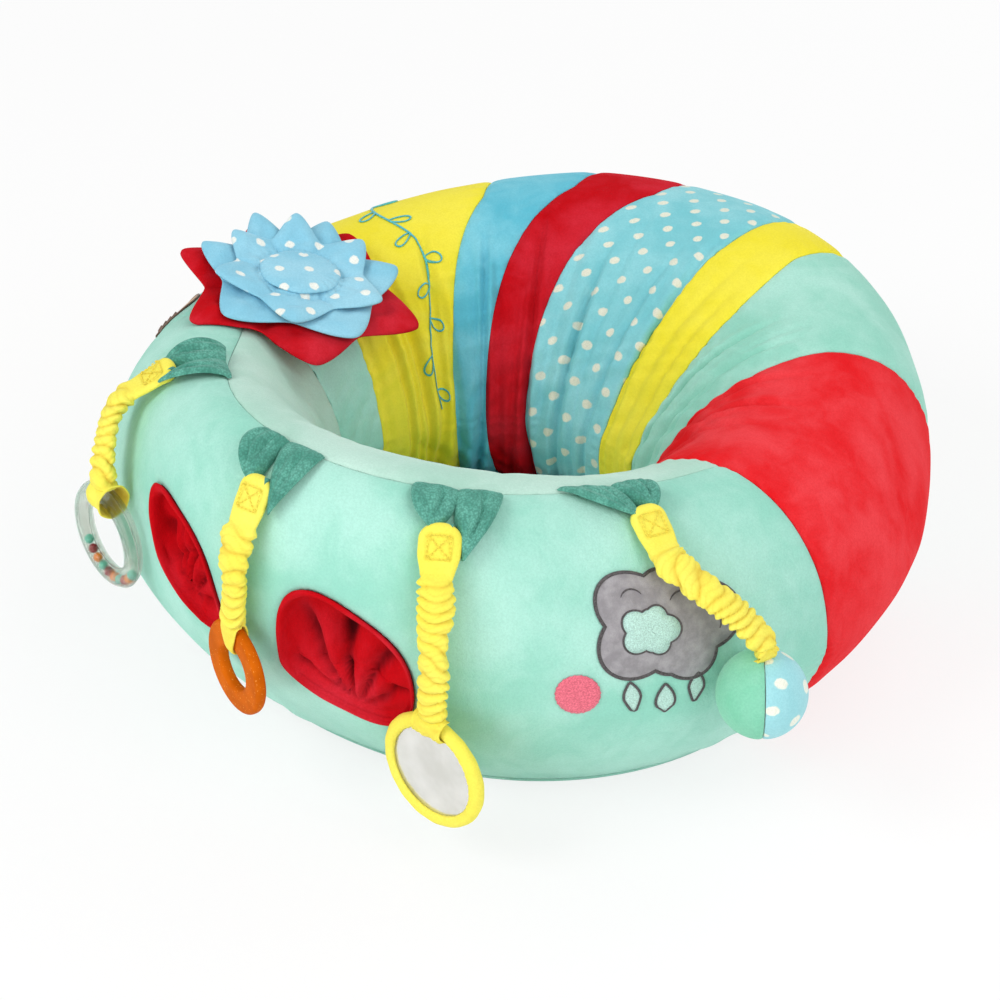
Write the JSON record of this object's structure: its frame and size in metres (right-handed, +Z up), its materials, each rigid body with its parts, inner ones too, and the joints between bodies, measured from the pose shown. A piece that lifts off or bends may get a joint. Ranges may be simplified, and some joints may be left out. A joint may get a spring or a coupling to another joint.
{
  "type": "baby floor seat",
  "caption": "Inflated ring floor seat in a banded velour cover, with a padded hollow, toys hung on gathered straps, fabric pockets, a layered flower and a zip round the back.",
  "frame": {"origin": "middle of the flat underside, on the floor, where the circle of the ring's widest outline has its centre", "axes": "+Z up; the front of the seat, where the pockets and toys hang, faces -Y; +X is to the seated baby's left hand side when seen from the front"},
  "size_m": [0.6235, 0.6288, 0.2616],
  "materials": {
    "mint_velour": "matte",
    "pale_mint_velour": "matte",
    "red_velour": "matte",
    "yellow_velour": "matte",
    "blue_velour": "matte",
    "dotted_aqua_velour": "matte",
    "green_terry": "matte",
    "pink_thread": "satin",
    "grey_felt": "matte",
    "tan_felt": "matte",
    "white_elastic": "matte",
    "white_wadding": "matte",
    "zip_cloth": "matte",
    "zip_plastic": "satin",
    "zip_metal": "gloss",
    "clear_vinyl": "gloss",
    "valve_plastic": "gloss",
    "orange_rubber": "satin",
    "smoky_clear_plastic": "gloss",
    "bead_plastic": "gloss",
    "mirror_film": "polished",
    "white_plastic": "gloss"
  },
  "bodies": {
    "seat": {"base_panel": "mint_velour", "seat_floor_pad": "mint_velour", "front_panel": "mint_velour", "seat_lip_panel": "pale_mint_velour", "red_side_band": "red_velour", "mint_back_band": "mint_velour", "yellow_narrow_band": "yellow_velour", "dotted_back_band": "dotted_aqua_velour", "red_narrow_band": "red_velour", "blue_band": "blue_velour", "yellow_wide_band": "yellow_velour", "mint_left_band": "mint_velour", "air_bladder": "clear_vinyl", "valve_seat": "valve_plastic", "pocket_lining_left": "red_velour", "pocket_lining_right": "red_velour", "pink_spot": "pink_thread", "cloud_applique": "grey_felt", "acorn_applique": "tan_felt", "zip_tape": "zip_cloth", "zip_teeth": "zip_plastic", "leaf_tab_rattle": "green_terry", "leaf_tab_teether": "green_terry", "leaf_tab_mirror": "green_terry", "leaf_tab_ball": "green_terry", "flower_anchor": "red_velour"},
    "valve_plug": {"valve_plug": "valve_plastic"},
    "zip_slider": {"zip_slider": "zip_metal"},
    "zip_pull": {"zip_pull": "zip_metal"},
    "strap_rattle": {"strap_sleeve_rattle": "yellow_velour", "elastic_rattle": "white_elastic"},
    "strap_teether": {"strap_sleeve_teether": "yellow_velour", "elastic_teether": "white_elastic"},
    "strap_mirror": {"strap_sleeve_mirror": "yellow_velour", "elastic_mirror": "white_elastic"},
    "strap_ball": {"strap_sleeve_ball": "yellow_velour", "elastic_ball": "white_elastic"},
    "rattle_ring": {"rattle_ring_front": "smoky_clear_plastic", "rattle_ring_back": "smoky_clear_plastic"},
    "rattle_beads": {"rattle_beads": "bead_plastic"},
    "teether": {"teether_ring": "orange_rubber"},
    "mirror": {"mirror_frame": "yellow_velour", "mirror_sheet": "mirror_film", "mirror_backing": "yellow_velour"},
    "ball": {"ball_green_half": "mint_velour", "ball_dotted_half": "dotted_aqua_velour", "ball_filling": "white_wadding", "ball_rattle": "white_plastic", "ball_tag": "yellow_velour"},
    "flower": {"flower_red_petals": "red_velour", "flower_blue_petals": "blue_velour", "flower_dotted_petals": "dotted_aqua_velour", "flower_centre": "dotted_aqua_velour"}
  },
  "joints": [
    {"name": "strap_rattle_swing", "type": "hinge", "parent": "seat", "child": "strap_rattle", "pos_m": [-0.13394, -0.21536, 0.24504], "axis": [-0.809, 0.5878, 0], "range_deg": [0, 70]},
    {"name": "strap_teether_swing", "type": "hinge", "parent": "seat", "child": "strap_teether", "pos_m": [0.00877, -0.28209, 0.24432], "axis": [-0.9994, -0.0349, 0], "range_deg": [0, 70]},
    {"name": "strap_mirror_swing", "type": "hinge", "parent": "seat", "child": "strap_mirror", "pos_m": [0.12703, -0.24242, 0.23486], "axis": [-0.8572, -0.515, 0], "range_deg": [0, 70]},
    {"name": "strap_ball_swing", "type": "hinge", "parent": "seat", "child": "strap_ball", "pos_m": [0.20607, -0.13151, 0.22291], "axis": [-0.4384, -0.8988, 0], "range_deg": [0, 60]},
    {"name": "rattle_swing", "type": "hinge", "parent": "strap_rattle", "child": "rattle_ring", "pos_m": [-0.13984, -0.27817, 0.172], "axis": [-0.9703, 0.2419, 0], "range_deg": [0, 60]},
    {"name": "beads_roll", "type": "hinge", "parent": "rattle_ring", "child": "rattle_beads", "pos_m": [-0.13984, -0.27817, 0.14], "axis": [-0.2419, -0.9703, 0], "continuous": true},
    {"name": "teether_turn", "type": "hinge", "parent": "strap_teether", "child": "teether", "pos_m": [0.00682, -0.31003, 0.113], "axis": [-0.309, -0.9511, 0], "continuous": true},
    {"name": "mirror_swing", "type": "hinge", "parent": "strap_mirror", "child": "mirror", "pos_m": [0.14492, -0.27507, 0.109], "axis": [-0.9986, 0.0523, 0], "range_deg": [0, 60]},
    {"name": "ball_swing", "type": "hinge", "parent": "strap_ball", "child": "ball", "pos_m": [0.29993, -0.12845, 0.1523], "axis": [-0.309, -0.9511, 0], "range_deg": [0, 25]},
    {"name": "slider_run", "type": "hinge", "parent": "seat", "child": "zip_slider", "pos_m": [0, -0.0369, 0.04985], "axis": [0, 0, 1], "range_deg": [0, 54]},
    {"name": "pull_swing", "type": "hinge", "parent": "zip_slider", "child": "zip_pull", "pos_m": [0.13296, 0.22138, 0.04396], "axis": [0.8891, -0.4577, 0], "range_deg": [0, 80]},
    {"name": "plug_pull", "type": "slide", "parent": "seat", "child": "valve_plug", "axis": [0, 0.9227, -0.3855], "range_m": [0, 0.006]},
    {"name": "flower_rock", "type": "hinge", "parent": "seat", "child": "flower", "pos_m": [-0.1653, -0.0513, 0.21519], "axis": [-0.1214, 0.9885, -0.0905], "range_deg": [0, 12]}
  ]
}
